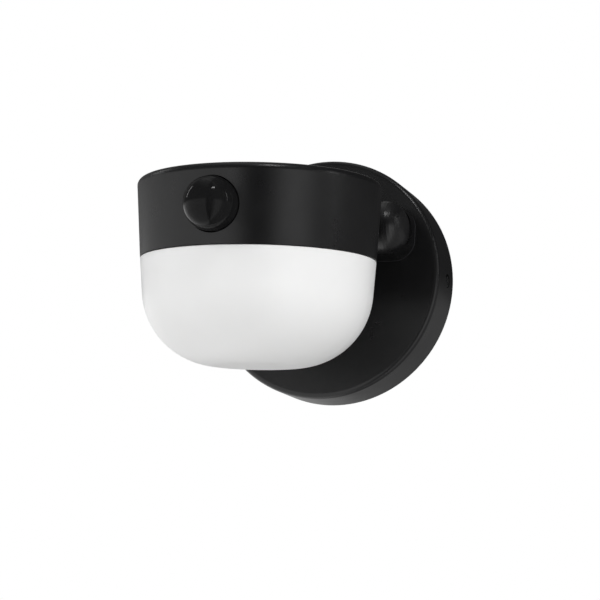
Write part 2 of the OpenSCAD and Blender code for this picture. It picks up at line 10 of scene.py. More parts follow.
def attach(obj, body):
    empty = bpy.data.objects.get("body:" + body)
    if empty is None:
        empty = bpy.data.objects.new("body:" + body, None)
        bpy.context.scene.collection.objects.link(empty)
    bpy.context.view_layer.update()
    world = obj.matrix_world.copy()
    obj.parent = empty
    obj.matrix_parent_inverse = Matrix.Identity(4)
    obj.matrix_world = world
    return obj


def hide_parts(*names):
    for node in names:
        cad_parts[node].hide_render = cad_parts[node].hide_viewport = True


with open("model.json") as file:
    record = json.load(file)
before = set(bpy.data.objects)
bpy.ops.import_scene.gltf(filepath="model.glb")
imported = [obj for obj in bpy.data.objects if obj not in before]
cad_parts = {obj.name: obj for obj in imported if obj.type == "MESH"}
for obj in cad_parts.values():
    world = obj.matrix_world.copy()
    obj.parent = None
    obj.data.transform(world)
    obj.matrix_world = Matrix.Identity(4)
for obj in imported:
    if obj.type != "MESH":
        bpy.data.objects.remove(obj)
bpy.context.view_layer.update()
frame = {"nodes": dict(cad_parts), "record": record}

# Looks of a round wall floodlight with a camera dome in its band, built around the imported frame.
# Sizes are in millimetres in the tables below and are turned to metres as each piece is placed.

scene = bpy.context.scene
MM = 0.001
TURN = 2 * math.pi

# ---------------------------------------------------------------- places on the light

hinge_y, hinge_z = -37.6, 20.3
hinge_at = Vector([0.0, hinge_y, hinge_z])
rest_lean = math.radians(4.4)
head_at = Vector([0.0, -105.833, -8.520])
dome_height = 17.0
lens_barrel = 4.6
button_height, button_round = 15.0, math.radians(132)

out_of_wall = Matrix.Rotation(math.radians(90), 4, "X")
along_hinge = Matrix.Translation(hinge_at) @ Matrix.Rotation(math.radians(90), 4, "Y")
on_head = Matrix.Translation(head_at) @ Matrix.Rotation(rest_lean, 4, "X")
to_dome = on_head @ Matrix.Translation([0, 0, dome_height]) @ Matrix.Rotation(math.radians(90), 4, "X")
to_button = (on_head @ Matrix.Translation([0, 0, button_height])
             @ Matrix.Rotation(-button_round, 4, "Z") @ Matrix.Rotation(math.radians(90), 4, "X"))


# ---------------------------------------------------------------- camera

def set_camera():
    """Long lens, a little below the light and to its right, looking slightly up with a small roll."""
    turn, rise, roll = math.radians(21.262), math.radians(-10.688), math.radians(2.704)
    back = Vector([math.sin(turn) * math.cos(rise), -math.cos(turn) * math.cos(rise), math.sin(rise)])
    right = (-back).cross(Vector([0, 0, 1])).normalized()
    up = right.cross(-back)
    level_right = right * math.cos(roll) + up * math.sin(roll)
    level_up = up * math.cos(roll) - right * math.sin(roll)
    lens = bpy.data.cameras.new("long_lens")
    lens.sensor_width, lens.lens = 36.0, 120.0
    lens.clip_start, lens.clip_end = 0.05, 20.0
    camera = bpy.data.objects.new("camera", lens)
    scene.collection.objects.link(camera)
    axes = Matrix([level_right, level_up, back]).transposed().to_4x4()
    camera.matrix_world = Matrix.Translation(Vector([335.974, -915.617, -191.163]) * MM) @ axes
    scene.camera = camera
    return turn


camera_turn = set_camera()
scene.view_settings.view_transform = "Standard"


# ---------------------------------------------------------------- studio

def node(tree, kind, settings=None, **inputs):
    """Adds a shader node, sets its properties, and links or sets each named input."""
    made = tree.nodes.new(kind)
    for key, value in (settings or {}).items():
        setattr(made, key, value)
    for key, value in inputs.items():
        numbered = key[0] == "i" and key[1:].isdigit()
        socket = made.inputs[int(key[1:]) if numbered else key.replace("_", " ")]
        if isinstance(value, bpy.types.NodeSocket):
            tree.links.new(value, socket)
        else:
            socket.default_value = value
    return made


def ramp(tree, factor, stops, interpolation="LINEAR"):
    """Colour ramp through (place, grey or colour) stops."""
    made = tree.nodes.new("ShaderNodeValToRGB")
    made.color_ramp.interpolation = interpolation
    elements = made.color_ramp.elements
    elements.remove(elements[1])
    elements[0].position = stops[0][0]
    for number, (place, tone) in enumerate(stops):
        element = elements.new(place) if number else elements[0]
        element.color = (tone, tone, tone, 1) if isinstance(tone, (int, float)) else (*tone, 1)
    tree.links.new(factor, made.inputs[0])
    return made.outputs[0]


def sums(tree, operation, a, b=None):
    """Math node of two sockets or numbers."""
    values = {"i0": a}
    if b is not None:
        values["i1"] = b
    return node(tree, "ShaderNodeMath", {"operation": operation}, **values).outputs[0]


def studio_surround():
    """White paper surround: bright low down, dim higher up and by the camera, white where seen directly."""
    world = bpy.data.worlds.new("paper_surround")
    scene.world = world
    world.use_nodes = True
    tree = world.node_tree
    tree.nodes.clear()
    direction = node(tree, "ShaderNodeTexCoord").outputs["Generated"]
    right = (math.cos(camera_turn), math.sin(camera_turn), 0)
    back = (math.sin(camera_turn), -math.cos(camera_turn), 0)
    across = node(tree, "ShaderNodeVectorMath", {"operation": "DOT_PRODUCT"}, i0=direction,
                  i1=right).outputs["Value"]
    towards = node(tree, "ShaderNodeVectorMath", {"operation": "DOT_PRODUCT"}, i0=direction,
                   i1=back).outputs["Value"]
    round_about = sums(tree, "MULTIPLY_ADD", sums(tree, "ARCTAN2", across, towards), 1 / TURN)
    tree.nodes[-1].inputs[2].default_value = 0.5

    def at(degrees):
        """Place on the ramp of a turn from the camera, in degrees."""
        return 0.5 + degrees / 360

    sides = ramp(tree, round_about, [
        (at(-180), 0.5), (at(-165), 1.1), (at(-148), 1.6), (at(-120), 1.0), (at(-20), 1.0), (at(-13), 0.0),
        (at(6), 0.0), (at(17), 0.5), (at(27), 1.2), (at(43), 1.15), (at(56), 0.35), (at(110), 0.3),
        (at(150), 0.25),
        (at(170), 0.3), (at(180), 0.5)])
    height = sums(tree, "MULTIPLY_ADD", node(tree, "ShaderNodeSeparateXYZ", i0=direction).outputs["Z"], 0.5)
    tree.nodes[-1].inputs[2].default_value = 0.5
    rise = ramp(tree, height, [(0.0, 1.0), (0.52, 1.0), (0.58, 0.12), (0.9, 0.1), (1.0, 0.5)])
    behind = ramp(tree, round_about, [(0.0, 0.5), (at(-177), 0.4), (at(-168), 0.0), (at(169), 0.0),
                                      (at(177), 0.4), (1.0, 0.5)])
    above = ramp(tree, height, [(0.52, 0.0), (0.58, 1.0), (0.82, 1.0), (0.95, 0.2)])
    light = sums(tree, "ADD", sums(tree, "MULTIPLY", sides, rise), sums(tree, "MULTIPLY", behind, above))
    seen = node(tree, "ShaderNodeLightPath").outputs["Is Camera Ray"]
    strength = node(tree, "ShaderNodeMix", {"data_type": "FLOAT"}, i0=seen, i2=light, i3=1.0).outputs[0]
    glow = node(tree, "ShaderNodeBackground", i0=(1, 1, 1, 1), i1=strength)
    tree.links.new(glow.outputs[0], node(tree, "ShaderNodeOutputWorld").inputs["Surface"])


def soft_light(name, degrees, rise, far, size, power, mirrored):
    """Soft light at an angle from the camera's side; mirrored says if polished surfaces show it."""
    turn = camera_turn + math.radians(degrees)
    lift = math.radians(rise)
    aim = Vector([0, -0.07, 0])
    out = Vector([math.sin(turn) * math.cos(lift), -math.cos(turn) * math.cos(lift), math.sin(lift)])
    lamp = bpy.data.lights.new(name, "AREA")
    lamp.shape, lamp.size, lamp.size_y, lamp.energy = "RECTANGLE", size[0], size[1], power
    placed = bpy.data.objects.new(name, lamp)
    scene.collection.objects.link(placed)
    placed.matrix_world = Matrix.Translation(aim + out * far) @ out.to_track_quat("Z",
            "Y").to_matrix().to_4x4()
    placed.visible_camera = False
    placed.visible_glossy = mirrored


studio_surround()
soft_light("left_softbox", -65, 30, 1.1, (0.8, 0.6), 6.0, False)
soft_light("right_softbox", 60, 30, 1.1, (0.6, 0.6), 7.3, False)
soft_light("front_fill", 0, -42, 0.62, (0.6, 0.4), 1.75, False)
soft_light("high_glint", 10, 52, 1.1, (0.16, 0.12), 1.4, True)
soft_light("left_strip", -110, 29, 1.1, (0.08, 0.5), 0.5, True)
soft_light("right_strip", 70, 22, 1.1, (0.08, 0.5), 0.5, True)


# ---------------------------------------------------------------- finishes

def finish(name, uniform, colours=None, rough=None, relief=(), tint_scale=90.0, detail=4.0,
           object_pattern=None):
    """A surface on object coordinates.

    uniform sets the shader's own sockets; colours are two tones mixed by a soft noise; rough is a
    (low, high) pair varied by a second noise; relief is a list of (scale per metre, depth in metres).
    """
    made = bpy.data.materials.new(name)
    made.use_nodes = True
    tree = made.node_tree
    shader = tree.nodes["Principled BSDF"]
    for key, value in uniform.items():
        shader.inputs[key].default_value = value
    place = node(tree, "ShaderNodeTexCoord").outputs["Object"]
    if colours:
        cloud = node(tree, "ShaderNodeTexNoise", Vector=place, Scale=tint_scale, Detail=detail).outputs["Fac"]
        tone = ramp(tree, cloud, [(0.3, colours[0]), (0.7, colours[1])])
        if object_pattern:
            tone = object_pattern(tree, place, tone)
        tree.links.new(tone, shader.inputs["Base Color"])
    if rough:
        wear = node(tree, "ShaderNodeTexNoise", Vector=place, Scale=tint_scale * 2.3,
                    Detail=3.0).outputs["Fac"]
        spread = node(tree, "ShaderNodeMapRange", Value=wear, From_Min=0.3, From_Max=0.7, To_Min=rough[0],
                      To_Max=rough[1])
        tree.links.new(spread.outputs[0], shader.inputs["Roughness"])
    normal = None
    for scale, depth in relief:
        bumps = node(tree, "ShaderNodeTexNoise", Vector=place, Scale=scale, Detail=2.0).outputs["Fac"]
        lift = node(tree, "ShaderNodeBump", Height=bumps, Distance=depth, Strength=1.0)
        if normal:
            tree.links.new(normal, lift.inputs["Normal"])
        normal = lift.outputs[0]
    if normal:
        tree.links.new(normal, shader.inputs["Normal"])
    return made


def copper_traces(line, spacing):
    """Fine square tracks and round vias under a solder mask, lighter than the mask."""
    def pattern(tree, place, tone):
        cells = node(tree, "ShaderNodeTexVoronoi", {"feature": "F1", "distance": "CHEBYCHEV"},
                     Vector=place, Scale=spacing, Randomness=0.7).outputs["Distance"]
        track = ramp(tree, cells, [(0.30, 0.0), (0.33, 1.0), (0.37, 1.0), (0.40, 0.0)])
        dots = node(tree, "ShaderNodeTexVoronoi", {"feature": "F1"}, Vector=place,
                    Scale=spacing * 1.7).outputs["Distance"]
        via = ramp(tree, dots, [(0.08, 1.0), (0.12, 0.0)])
        marks = sums(tree, "MAXIMUM", track, via)
        return node(tree, "ShaderNodeMix", {"data_type": "RGBA"}, i0=marks, i6=tone, i7=(*line, 1)).outputs[2]
    return pattern


def turned_rings(scale, light):
    """Fine tool marks across the height."""
    def pattern(tree, place, tone):
        lines = node(tree, "ShaderNodeTexWave", {"bands_direction": "Z"}, Vector=place, Scale=scale,
                     Distortion=1.0,
                     Detail=1.0).outputs["Fac"]
        return node(tree, "ShaderNodeMix", {"data_type": "RGBA"}, i0=sums(tree, "MULTIPLY", lines, 0.35),
                    i6=tone,
                    i7=(*light, 1)).outputs[2]
    return pattern


powder_coat = finish("satin_powder_coat", {"Specular IOR Level": 0.5},
                     ((0.0056, 0.0056, 0.0060), (0.0076, 0.0076, 0.0080)), rough=(0.27, 0.33),
                     relief=((2600.0, 0.000012), (700.0, 0.00001)), tint_scale=40.0)
moulded_black = finish("moulded_black_plastic", {"Specular IOR Level": 0.5},
                       ((0.007, 0.007, 0.0075), (0.011, 0.011, 0.0115)), rough=(0.36, 0.46),
                       relief=((3800.0, 0.00001),), tint_scale=120.0)
opal = finish("opal_diffuser_plastic",
              {"Subsurface Weight": 0.35, "Subsurface Radius": (1.0, 0.98, 0.95), "Subsurface Scale": 0.003,
               "IOR": 1.49, "Specular IOR Level": 0.5},
              ((0.90, 0.90, 0.895), (0.93, 0.93, 0.925)), rough=(0.30, 0.36),
              relief=((900.0, 0.000003),), tint_scale=22.0)
smoked = finish("smoked_polished_plastic",
                {"Transmission Weight": 0.45, "IOR": 1.2, "Specular IOR Level": 0.5},
                ((0.012, 0.012, 0.0125), (0.018, 0.018, 0.0185)), rough=(0.02, 0.045), tint_scale=60.0)
rubber = finish("matt_grey_rubber", {"Specular IOR Level": 0.35},
                ((0.016, 0.016, 0.017), (0.028, 0.028, 0.03)),
                rough=(0.7, 0.85), relief=((3000.0, 0.00002),), tint_scale=160.0)
silicone = finish("pale_silicone", {"Subsurface Weight": 0.3, "Subsurface Scale": 0.002},
                  ((0.66, 0.66, 0.63), (0.76, 0.76, 0.73)), rough=(0.45, 0.6), relief=((1800.0, 0.00001),))
zinc = finish("bright_zinc_plate", {"Metallic": 1.0}, ((0.56, 0.57, 0.58), (0.72, 0.72, 0.70)),
              rough=(0.22, 0.38),
              relief=((1500.0, 0.000008),), tint_scale=180.0)
black_oxide = finish("black_oxide_steel", {"Metallic": 1.0}, ((0.035, 0.035, 0.037), (0.06, 0.06, 0.062)),
                     rough=(0.3, 0.42), relief=((2400.0, 0.000008),), tint_scale=250.0)
green_steel = finish("green_earth_screw_steel", {"Metallic": 1.0}, ((0.07, 0.30, 0.13), (0.13, 0.42, 0.2)),
                     rough=(0.3, 0.4), relief=((1500.0, 0.000008),), tint_scale=200.0)
acetal = finish("natural_acetal", {"Subsurface Weight": 0.2, "Subsurface Scale": 0.001},
                ((0.70, 0.68, 0.60), (0.80, 0.78, 0.70)), rough=(0.35, 0.45), relief=((900.0, 0.000008),))
aluminium = finish("machined_aluminium", {"Metallic": 1.0}, ((0.62, 0.63, 0.65), (0.76, 0.77, 0.78)),
                   rough=(0.28, 0.42), relief=((1200.0, 0.000006),), tint_scale=140.0,
                   object_pattern=turned_rings(900.0, (0.86, 0.86, 0.88)))
white_board = finish("white_solder_mask", {"Coat Weight": 0.25}, ((0.80, 0.80, 0.77), (0.88, 0.88, 0.85)),
                     rough=(0.3, 0.4), object_pattern=copper_traces((0.72, 0.72, 0.66), 220.0))
green_board = finish("green_solder_mask", {"Coat Weight": 0.4}, ((0.02, 0.12, 0.055), (0.03, 0.17, 0.075)),
                     rough=(0.22, 0.34), object_pattern=copper_traces((0.07, 0.32, 0.15), 420.0))
phosphor = finish("yellow_phosphor", {"Coat Weight": 0.6}, ((0.86, 0.66, 0.10), (0.95, 0.78, 0.18)),
                  rough=(0.2, 0.3),
                  relief=((2500.0, 0.00001),), tint_scale=900.0)
winding = finish("yellow_winding_tape", {"Specular IOR Level": 0.5}, ((0.62, 0.44, 0.05), (0.74, 0.55, 0.09)),
                 rough=(0.25, 0.4), object_pattern=turned_rings(1400.0, (0.45, 0.30, 0.03)))
ferrite = finish("grey_ferrite", {"Specular IOR Level": 0.4}, ((0.03, 0.03, 0.033), (0.06, 0.06, 0.063)),
                 rough=(0.5, 0.65), relief=((1700.0, 0.00002),), tint_scale=500.0)
sleeve = finish("dark_blue_sleeve", {"Coat Weight": 0.3}, ((0.010, 0.016, 0.045), (0.016, 0.024, 0.06)),
                rough=(0.2, 0.3), tint_scale=300.0)
sheath = finish("grey_cable_sheath", {"Specular IOR Level": 0.4}, ((0.03, 0.03, 0.033), (0.05, 0.05, 0.054)),
                rough=(0.45, 0.6), relief=((2200.0, 0.00001),), tint_scale=400.0)
nylon = finish("ivory_nylon", {"Subsurface Weight": 0.15, "Subsurface Scale": 0.001},
               ((0.76, 0.74, 0.67), (0.84, 0.82, 0.75)), rough=(0.38, 0.5), relief=((1500.0, 0.000008),))
chip_epoxy = finish("black_chip_epoxy", {"Specular IOR Level": 0.4},
                    ((0.016, 0.016, 0.017), (0.026, 0.026, 0.028)),
                    rough=(0.5, 0.62), relief=((4200.0, 0.00001),), tint_scale=700.0)
tin = finish("tin_plated_steel", {"Metallic": 1.0}, ((0.60, 0.61, 0.62), (0.72, 0.72, 0.72)),
             rough=(0.25, 0.4),
             relief=((900.0, 0.00001),), tint_scale=300.0)
dark_red = finish("dark_red_epoxy", {"Coat Weight": 0.8, "IOR": 1.52},
                  ((0.020, 0.006, 0.012), (0.035, 0.012, 0.02)),
                  rough=(0.08, 0.14), tint_scale=500.0)
pale_epoxy = finish("pale_sensor_epoxy", {"Coat Weight": 0.8, "IOR": 1.52},
                    ((0.55, 0.53, 0.42), (0.68, 0.66, 0.56)),
                    rough=(0.08, 0.14), tint_scale=500.0)


def lens_finish():
    """Coated glass: deep blue, with the coating's reflections painted in as green then violet rings, by
    distance from a level line at dome height.
    """
    made = finish("coated_lens_glass", {"Coat Weight": 1.0, "Coat Roughness": 0.02, "IOR": 1.6},
                  ((0.01, 0.012, 0.03), (0.014, 0.018, 0.045)), rough=(0.02, 0.05), tint_scale=600.0)
    tree = made.node_tree
    here = node(tree, "ShaderNodeTexCoord").outputs["Object"]
    from_axis = node(tree, "ShaderNodeVectorMath", {"operation": "DISTANCE"})
    flat = node(tree, "ShaderNodeVectorMath", {"operation": "MULTIPLY"})
    flat.inputs[1].default_value = (1, 0, 1)
    tree.links.new(here, flat.inputs[0])
    tree.links.new(flat.outputs["Vector"], from_axis.inputs[0])
    from_axis.inputs[1].default_value = (0, 0, (head_at.z + dome_height) * MM)
    outwards = sums(tree, "MULTIPLY", from_axis.outputs["Value"], 1 / (lens_barrel * MM))
    # Painted reflection: the coating's green and violet reflection tints go into the base colour as rings out
    # from the lens axis.
    painted_coating_reflection = ramp(tree, outwards, [(0.0, (0.010, 0.014, 0.05)), (0.35, (0.012, 0.05, 0.05)),
                                  (0.7, (0.06, 0.02, 0.09)), (1.0, (0.02, 0.02, 0.04))])
    tree.links.new(painted_coating_reflection, tree.nodes["Principled BSDF"].inputs["Base Color"])
    return made


lens_glass = lens_finish()
floor_paint = finish("pale_floor_paint", {"Specular IOR Level": 0.2},
                     ((0.80, 0.80, 0.79), (0.84, 0.84, 0.83)),
                     rough=(0.75, 0.9), tint_scale=3.0)

finish_of = {
    "satin_black": powder_coat, "black_plastic": moulded_black, "milky_diffuser": opal, "dome_smoke": smoked,
    "lens_glass": lens_glass, "gasket_rubber": rubber, "clear_silicone": silicone, "zinc_steel": zinc,
    "black_screw": black_oxide, "green_screw": green_steel, "acetal": acetal, "aluminium": aluminium,
    "white_board": white_board, "green_board": green_board, "led_phosphor": phosphor, "winding_tape": winding,
    "capacitor_sleeve": sleeve, "cable_sheath": sheath, "terminal_nylon": nylon, "chip_black": chip_epoxy,
    "shield_can": tin, "infrared_epoxy": dark_red, "sensor_epoxy": pale_epoxy}


def dress_frame():
    """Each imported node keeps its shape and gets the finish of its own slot."""
    for part in frame["record"]["subparts"]:
        shown = frame["nodes"][part["node"]]
        shown.data.materials.clear()
        shown.data.materials.append(finish_of[part["material_slot"]])


dress_frame()

# ---------------------------------------------------------------- surfaces

def rounded(corners, steps=5):
    """Outline through (x, y, radius) corners; each becomes an arc that leaves both its sides at a tangent."""
    points = []
    count = len(corners)
    for i, (x, y, radius) in enumerate(corners):
        here = np.array([x, y], float)
        if radius <= 0 or i in (0, count - 1):
            points.append(here[None])
            continue
        before = np.array(corners[i - 1][:2], float) - here
        after = np.array(corners[i + 1][:2], float) - here
        before /= np.linalg.norm(before)
        after /= np.linalg.norm(after)
        half = math.acos(np.clip(before @ after, -1, 1)) / 2
        middle = here + (before + after) / np.linalg.norm(before + after) * radius / math.sin(half)
        start, end = here + before * radius / math.tan(half), here + after * radius / math.tan(half)
        way = np.linspace(0, 1, steps + 1)[:, None]
        chord = (start - middle) * (1 - way) + (end - middle) * way
        points.append(middle + chord / np.linalg.norm(chord, axis=1)[:, None] * radius)
    return np.concatenate(points)


def turned(profile, segments=96):
    """Surface of revolution: profile point (r, height) goes round the axis as (r cos a, r sin a, height)."""
    profile = np.asarray(profile, float)
    angle = np.linspace(0, TURN, segments, endpoint=False)
    radius, height = profile[:, :1], profile[:, 1:]
    return np.stack([radius * np.cos(angle), radius * np.sin(angle), height + 0 * angle], -1)


def ring_of(corners, segments=96):
    """Turned ring whose cross-section is a closed outline of (radius, height, fillet) corners."""
    (x0, y0, _), (x1, y1, _) = corners[0], corners[1]
    start = ((x0 + x1) / 2, (y0 + y1) / 2, 0)
    return turned(rounded([start] + list(corners[1:]) + [corners[0], start]), segments)


def box_outline(width, depth, radius, steps=4):
    """Rectangle about the middle with quarter-round corners, run anticlockwise."""
    x, y = width / 2 - radius, depth / 2 - radius
    quarter = np.linspace(0, math.pi / 2, steps + 1)
    sides = [(x, y, 0), (-x, y, 1), (-x, -y, 2), (x, -y, 3)]
    return np.concatenate([np.stack([cx + radius * np.cos(quarter + k * math.pi / 2),
                                     cy + radius * np.sin(quarter + k * math.pi / 2)], -1) for cx, cy,
                                     k in sides])


def inset(outline, by):
    """The outline moved inwards along its own normals."""
    along = np.roll(outline, -1, 0) - np.roll(outline, 1, 0)
    along /= np.linalg.norm(along, axis=1)[:, None]
    return outline + np.stack([-along[:, 1], along[:, 0]], -1) * by


def slab(outline, low, high, edge=0.2, steps=3):
    """Solid over an outline.

    Its rim rises and turns in by a quarter round at both faces, which close at the middle.
    """
    outline = np.asarray(outline, float)
    middle = outline.mean(0)
    turn = np.linspace(0, math.pi / 2, steps + 1)
    rows = [(edge * (1 - math.sin(t)), low + edge * (1 - math.cos(t))) for t in turn]
    rows += [(edge * (1 - math.cos(t)), high - edge * (1 - math.sin(t))) for t in turn]
    rings = [np.column_stack([inset(outline, by), np.full(len(outline), z)]) for by, z in rows]
    close = lambda z: np.column_stack([np.tile(middle, (len(outline), 1)), np.full(len(outline), z)])
    return np.stack([close(low)] + rings + [close(high)])


def tray(outline, low, high, wall, floor, edge=0.15):
    """Open box: the outline rises, turns over its rim, goes down inside and closes over its floor."""
    outline = np.asarray(outline, float)
    middle = outline.mean(0)
    rows = [(0, low), (0, high - edge), (edge, high), (wall - edge, high), (wall, high - edge),
            (wall, low + floor)]
    rings = [np.column_stack([inset(outline, by), np.full(len(outline), z)]) for by, z in rows]
    close = lambda z: np.column_stack([np.tile(middle, (len(outline), 1)), np.full(len(outline), z)])
    return np.stack([close(low)] + rings + [close(low + floor)])


def moved(grid, x=0.0, y=0.0, z=0.0, turn=0.0, flip=False):
    """The grid turned about its height axis, turned over if asked, and moved."""
    c, s = math.cos(turn), math.sin(turn)
    spun = grid @ np.array([[c, s, 0], [-s, c, 0], [0, 0, 1]])
    if flip:
        spun = spun * np.array([1, -1, -1])
    return spun + np.array([x, y, z])


def pan_screw(radius, length, head_radius, head_height, pitch=0.7):
    """Pan head with a cross recess, and a threaded shank.

    Head: height falls from a flat top through a quarter round, less a smooth cross-shaped dip.
    Shank: the radius follows a triangle wave of height minus turn, so the ridge runs as a helix.
    """
    crown = 0.6 * head_height
    rim = rounded([(0, head_height, 0), (head_radius, head_height, crown), (head_radius, 0, 0.1),
                   (radius * 0.8, 0, 0)], 6)
    inner = np.stack([np.linspace(0, head_radius - crown, 16), np.full(16, head_height)], -1)
    head = turned(np.concatenate([inner, rim[1:]]), 64)
    x, y, z = head[..., 0], head[..., 1], head[..., 2]
    near, far = np.minimum(abs(x), abs(y)), np.maximum(abs(x), abs(y))
    soft = lambda v, edge, width: 1 / (1 + np.exp((v - edge) / width))
    dip = soft(near, 0.16 * head_radius, 0.05) * soft(far, 0.52 * head_radius, 0.06) * (z > head_height * 0.7)
    head = np.stack([x, y, z - dip * head_height * 0.45], -1)
    rows = np.linspace(0, -length, max(10, int(length / pitch * 6)))
    turn = np.linspace(0, TURN, 24, endpoint=False)
    wave = abs(((rows[:, None] / pitch + turn / TURN) % 1) * 2 - 1)
    fade = np.clip((length + rows) / 0.8, 0, 1)[:, None]
    reach = radius * (0.84 + 0.14 * wave) * (0.75 + 0.25 * fade)
    shank = np.stack([reach * np.cos(turn), reach * np.sin(turn), rows[:, None] + 0 * turn], -1)
    tip = np.zeros((1, 24, 3)) + [0, 0, -length]
    top = np.zeros((1, 24, 3)) + [0, 0, 0.02]
    return [head, np.concatenate([top, shank, tip])]


def nut(across, bore, height):
    """Hexagon with a bore: the outside is the nearer of a hexagon and a chamfer cone."""
    turn = np.linspace(0, TURN, 96, endpoint=False)
    hexagon = across * math.cos(math.pi / 6) / np.cos((turn + math.pi / 6) % (math.pi / 3) - math.pi / 6)
    rows = [(0.0, 1), (0.7, 1), (height / 2, 1), (height - 0.7, 1), (height, 1), (height, 0), (height / 2, 0),
            (0.0, 0), (0.0, 1)]
    rings = []
    for z, outside in rows:
        limit = across - 0.9 + 1.6 * min(z, height - z)
        reach = np.minimum(hexagon, limit) if outside else np.full(96, bore)
        rings.append(np.stack([reach * np.cos(turn), reach * np.sin(turn), np.full(96, z)], -1))
    return np.stack(rings)


def lead(points, radius, bend=3.0, sides=20):
    """Round cable: a circle carried along straight runs joined by smooth bends of second degree."""
    points = [np.array(p, float) for p in points]
    path = [points[0]]
    for before, here, after in zip(points, points[1:], points[2:]):
        a, b = before - here, after - here
        reach = min(bend, np.linalg.norm(a) * 0.48, np.linalg.norm(b) * 0.48)
        start, end = here + a / np.linalg.norm(a) * reach, here + b / np.linalg.norm(b) * reach
        path += [start * (1 - t) ** 2 + 2 * here * t * (1 - t) + end * t * t for t in np.linspace(0, 1, 9)]
    path = np.array(path + [points[-1]])
    along = np.gradient(path, axis=0)
    along /= np.linalg.norm(along, axis=1)[:, None]
    side = np.cross(along, [0.31, 0.43, -0.85])
    side /= np.linalg.norm(side, axis=1)[:, None]
    other = np.cross(along, side)
    turn = np.linspace(0, TURN, sides, endpoint=False)[:, None]
    circle = lambda r: path[:, None] + r * (side[:, None] * np.cos(turn) + other[:, None] * np.sin(turn))
    shell = circle(radius)
    return np.concatenate([np.repeat(path[:1, None], sides, 1), shell, np.repeat(path[-1:, None], sides, 1)])


def make(name, surfaces, place, body, stands_for, crease=38):
    """One piece from (grid, finish) pairs in millimetres: each grid closes round its second direction."""
    corners, faces, skins, finishes, first = [], [], [], [], 0
    for grid, skin in surfaces:
        rows, columns = grid.shape[:2]
        index = first + np.arange(rows * columns).reshape(rows, columns)
        beside = np.roll(index, -1, 1)
        faces.append(np.stack([index[:-1], beside[:-1], beside[1:], index[1:]], -1).reshape(-1, 4))
        corners.append(grid.reshape(-1, 3))
        if skin not in finishes:
            finishes.append(skin)
        skins.append(np.full(len(faces[-1]), finishes.index(skin)))
        first += rows * columns
    turn = np.array(place.to_3x3())
    shift = np.array(place.translation)
    corners = (np.concatenate(corners) @ turn.T + shift) * MM
    shape = bpy.data.meshes.new(name)
    shape.from_pydata(corners.tolist(), [], np.concatenate(faces).tolist())
    shape.polygons.foreach_set("material_index", np.concatenate(skins))
    for skin in finishes:
        shape.materials.append(skin)
    cleaned = bmesh.new()
    cleaned.from_mesh(shape)
    bmesh.ops.remove_doubles(cleaned, verts=cleaned.verts, dist=2e-6)
    bmesh.ops.dissolve_degenerate(cleaned, dist=1e-7, edges=cleaned.edges)
    bmesh.ops.recalc_face_normals(cleaned, faces=cleaned.faces)
    cleaned.to_mesh(shape)
    cleaned.free()
    shape.shade_smooth()
    shape.set_sharp_from_angle(angle=math.radians(crease))
    piece = bpy.data.objects.new(name, shape)
    scene.collection.objects.link(piece)
    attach(piece, body)
    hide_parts(*stands_for)
    return piece


# ---------------------------------------------------------------- sizes shared by the head's pieces

band_low, band_growth, band_tall = 52.9, 2.0, 35.0
boss_circle = 38
arm_height, knuckle_radius = 23.5, 13


def band_radius(height):
    """Outer radius of the band at a height: low radius + growth * height / band height."""
    return band_low + band_growth * height / band_tall


collar_out = band_low - 2.8
collar_inside = collar_out - 2.2
dome_face = band_radius(dome_height)
seat = dome_face - 4.6
seal_at = seat - 0.8
flange_at = seal_at - 1.2
dome_wide, dome_proud, dome_thick = 11.85, 13.0, 1.6
flange_wide = dome_wide + 2.3
retainer_at = flange_at - 2.2
socket_wide = flange_wide + 0.3
mask_at = flange_at + 2.6
mask_wide = dome_wide - dome_thick - 0.25
lens_front = mask_at + 4.2
lens_back = retainer_at - 1.5
driver_floor = 6.2 + 2 + 4
driver_top = driver_floor + 1.6
whole = Matrix.Identity(4)


# ---------------------------------------------------------------- head: diffuser and camera

def bowl_outline(inwards):
    """Half of the bowl's section: a drafted wall that turns through a large arc into the flat bottom."""
    draft, depth, bend = math.radians(4.5), 47.8, 34.5
    top = band_low - 0.05
    height = bend - depth
    middle = top + height * math.tan(draft) - bend / math.cos(draft)
    turn = np.linspace(-draft, -math.pi / 2, 44)
    arc = np.stack([middle + (bend - inwards) * np.cos(turn), height + (bend - inwards) * np.sin(turn)], -1)
    wall_top = np.array([[top - inwards - 0.4 * math.tan(draft), -0.4]])
    wall = wall_top + (arc[:1] - wall_top) * np.linspace(0, 1, 9)[:-1, None]
    flat = np.stack([np.linspace(middle, 0, 9)[1:], np.full(8, inwards - depth)], -1)
    return np.concatenate([wall, arc, flat])


